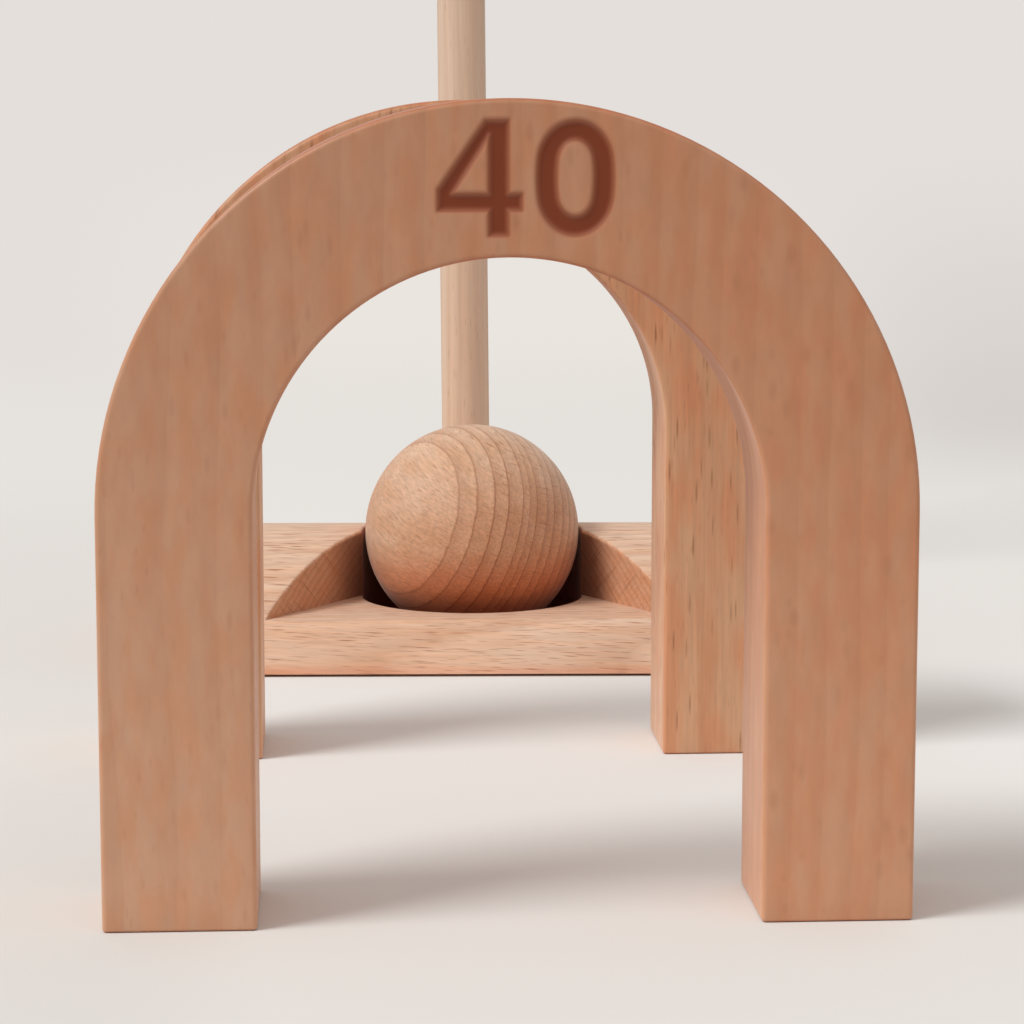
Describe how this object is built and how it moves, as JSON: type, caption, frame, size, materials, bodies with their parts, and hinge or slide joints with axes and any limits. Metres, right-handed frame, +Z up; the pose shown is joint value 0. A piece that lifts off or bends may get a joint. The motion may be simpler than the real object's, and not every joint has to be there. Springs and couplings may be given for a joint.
{
  "type": "croquet set",
  "caption": "Small solid beech croquet set: arched wickets in line, a ball in the pocket of a domed, notched cradle, and a mallet standing behind it.",
  "frame": {"origin": "on the cradle's underside and the floor that every piece stands on, straight below the middle of the ball", "axes": "+X along the cradle, +Y along the line of play from the wickets towards the mallet, +Z up"},
  "size_m": [0.11, 0.3066, 0.25],
  "materials": {
    "cradle_beech": "sanded, thin matt oil",
    "ball_beech": "turned and sanded, thin matt oil",
    "wicket_beech": "sanded, thin matt oil, burnt-in numbers",
    "mallet_beech": "turned and sanded, thin matt oil",
    "dowel_beech": "drawn dowel, sanded"
  },
  "bodies": {
    "cradle": {"ball_cradle": "cradle_beech"},
    "ball": {"ball": "ball_beech"},
    "front_wicket": {"front_wicket": "wicket_beech"},
    "rear_wicket": {"rear_wicket": "wicket_beech"},
    "mallet": {"mallet_head": "mallet_beech", "mallet_handle": "dowel_beech"}
  },
  "joints": [
    {"name": "ball_lift", "type": "slide", "parent": "cradle", "child": "ball", "axis": [0, 0, 1], "range_m": [0, 0.06]},
    {"name": "front_wicket_lift", "type": "slide", "parent": "cradle", "child": "front_wicket", "axis": [0, 0, 1], "range_m": [0, 0.06]},
    {"name": "rear_wicket_lift", "type": "slide", "parent": "cradle", "child": "rear_wicket", "axis": [0, 0, 1], "range_m": [0, 0.06]},
    {"name": "mallet_stroke", "type": "slide", "parent": "cradle", "child": "mallet", "axis": [0, 1, 0], "range_m": [0, 0.1]}
  ]
}
